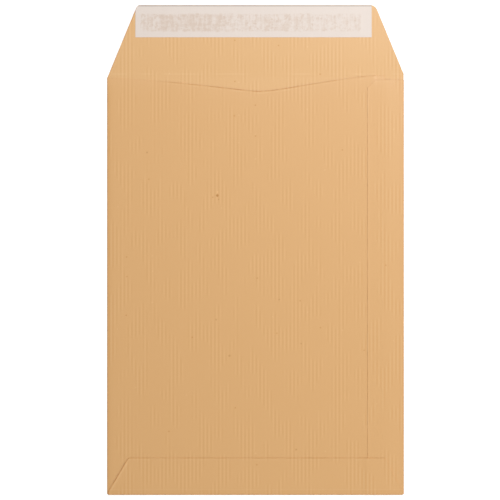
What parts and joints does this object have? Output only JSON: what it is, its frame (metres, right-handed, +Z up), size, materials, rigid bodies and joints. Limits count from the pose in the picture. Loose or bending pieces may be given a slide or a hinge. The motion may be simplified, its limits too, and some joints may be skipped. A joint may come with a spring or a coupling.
{
  "type": "kraft pocket envelope",
  "caption": "Flat pocket envelope of ribbed kraft paper with a side seam, a folded bottom and an open self-seal flap under a release strip.",
  "frame": {"origin": "on the surface the envelope lies on, under the middle of the open envelope's outline", "axes": "+X across the envelope towards the side-seam flap's fold, +Y from the bottom fold to the seal flap, +Z up out of the seam side"},
  "size_m": [0.229, 0.378, 0.0024],
  "materials": {
    "kraft": "ribbed brown kraft paper, matt, with fine lengthwise ribs and a few darker fibres",
    "dry_glue": "thin film of dried glue, hidden in the seam",
    "seal_adhesive": "pressure-sensitive adhesive, seen mottled through the strip",
    "release_strip": "white silicone paper, smooth, slightly see-through"
  },
  "bodies": {
    "root": {"kraft_sheet": "kraft", "side_seam_glue": "dry_glue", "bottom_flap_glue": "dry_glue", "seal_adhesive": "seal_adhesive", "release_strip": "release_strip"}
  },
  "joints": []
}
